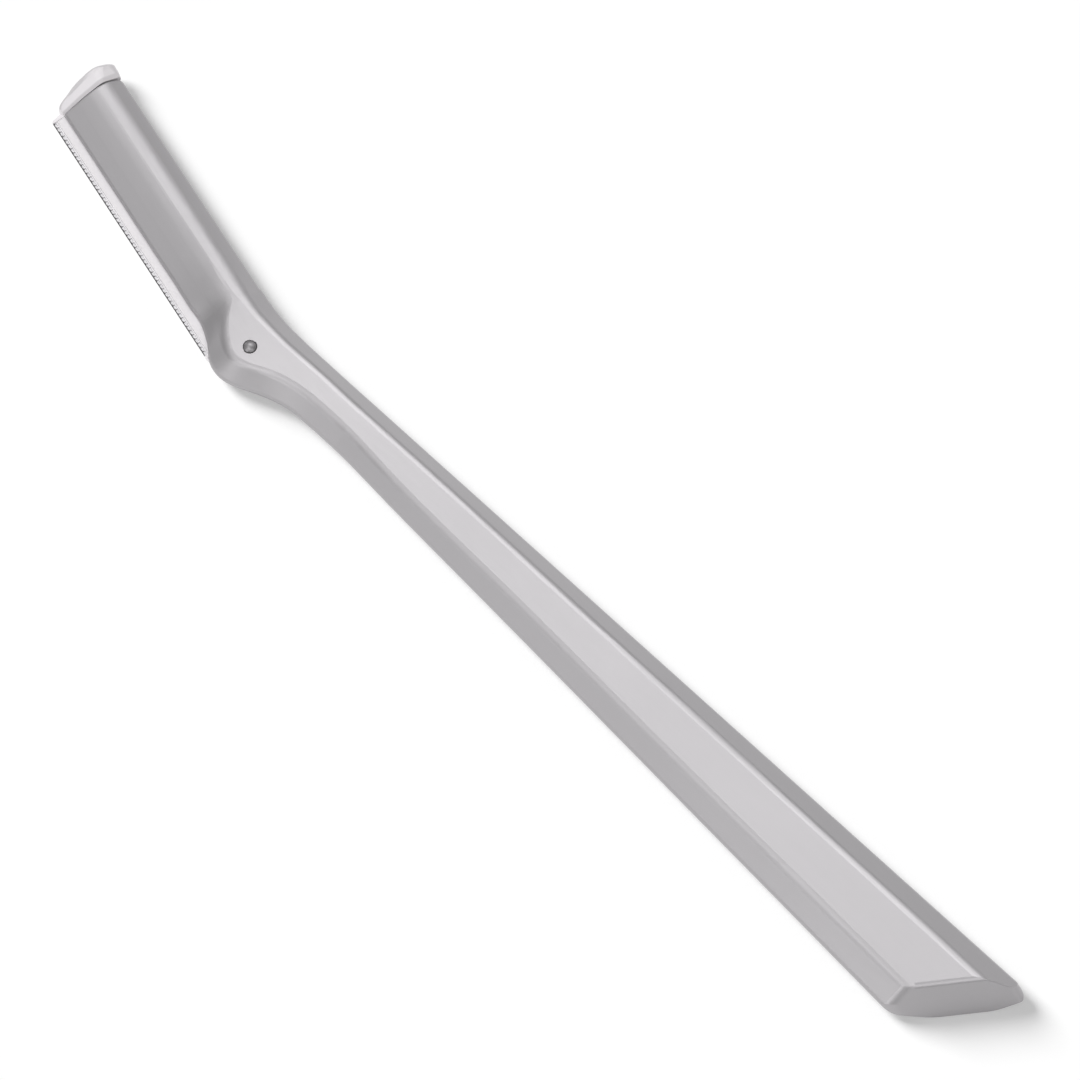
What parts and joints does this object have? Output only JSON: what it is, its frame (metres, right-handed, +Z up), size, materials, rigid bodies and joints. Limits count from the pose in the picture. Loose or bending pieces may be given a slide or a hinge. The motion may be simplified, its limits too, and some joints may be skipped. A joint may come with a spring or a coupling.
{
  "type": "eyebrow razor",
  "caption": "Slim metal eyebrow razor: tapered bar handle with a slanted butt, bent hollow head with a slide-in comb-guarded blade, and a small lock button at the elbow.",
  "frame": {"origin": "on the flat underside, directly below the lock button's axis", "axes": "+X down the handle to the butt, +Y to the blunt spine side, +Z up through the top facet"},
  "size_m": [0.1537, 0.0181, 0.005],
  "materials": {
    "satin_steel": "satin",
    "button_steel": "polished",
    "spring_steel": "satin",
    "blade_steel": "polished",
    "comb_steel": "satin",
    "pale_plastic": "satin"
  },
  "bodies": {
    "handle": {"handle_body": "satin_steel", "button_spring": "spring_steel", "spring_cover": "satin_steel"},
    "button": {"lock_button": "button_steel"},
    "cartridge": {"blade_carrier": "pale_plastic", "carrier_cover": "pale_plastic", "blade": "blade_steel", "blade_guard": "comb_steel"}
  },
  "joints": [
    {"name": "cartridge_slide", "type": "slide", "parent": "handle", "child": "cartridge", "axis": [-0.9759, 0.2181, 0], "range_m": [0, 0.04]},
    {"name": "button_press", "type": "slide", "parent": "handle", "child": "button", "axis": [0, 0, -1], "range_m": [0, 0.0004], "stiffness_N_per_m": 800, "springref_m": -0.0008, "deforming": ["button_spring"]}
  ]
}
